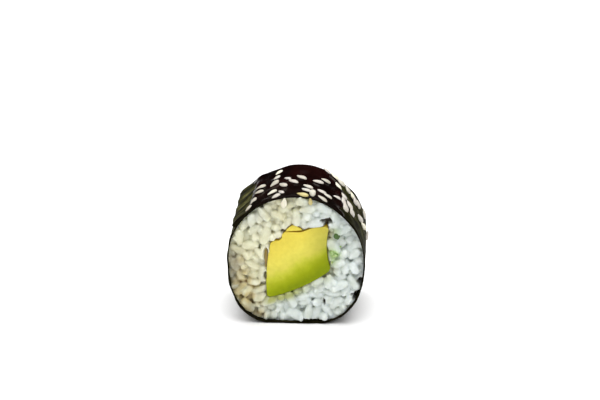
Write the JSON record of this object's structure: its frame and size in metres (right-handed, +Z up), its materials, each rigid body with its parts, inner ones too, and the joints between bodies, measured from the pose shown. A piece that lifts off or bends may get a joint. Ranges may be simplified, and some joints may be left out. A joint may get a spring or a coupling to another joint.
{
  "type": "avocado maki roll slice",
  "caption": "Cut slice of a rice roll wrapped in nori, with an avocado filling, a glossy sauce on top and sesame seeds.",
  "frame": {"origin": "on the table, under the middle of the slice", "axes": "+Z up from the table, Y along the roll's own axis, with the cut face that shows first towards -Y, and +X to the right as that face is seen"},
  "size_m": [0.0397, 0.0272, 0.0395],
  "materials": {
    "nori": "toasted seaweed, near black with olive streaks, glossy where it is wet with dark sauce",
    "rice": "cooked sushi rice, white and slightly translucent, moist",
    "avocado_flesh": "ripe avocado, yellow turning green towards the skin side, smooth and moist",
    "sesame": "hulled sesame seeds, cream white, satin",
    "sauce": "thin sweet soy glaze, dark maroon, wet gloss",
    "avocado_skin": "crumbs of green avocado flesh and skin"
  },
  "bodies": {
    "root": {"nori_wrap": "nori", "rice": "rice", "avocado": "avocado_flesh", "avocado_sliver": "avocado_flesh"}
  },
  "joints": []
}
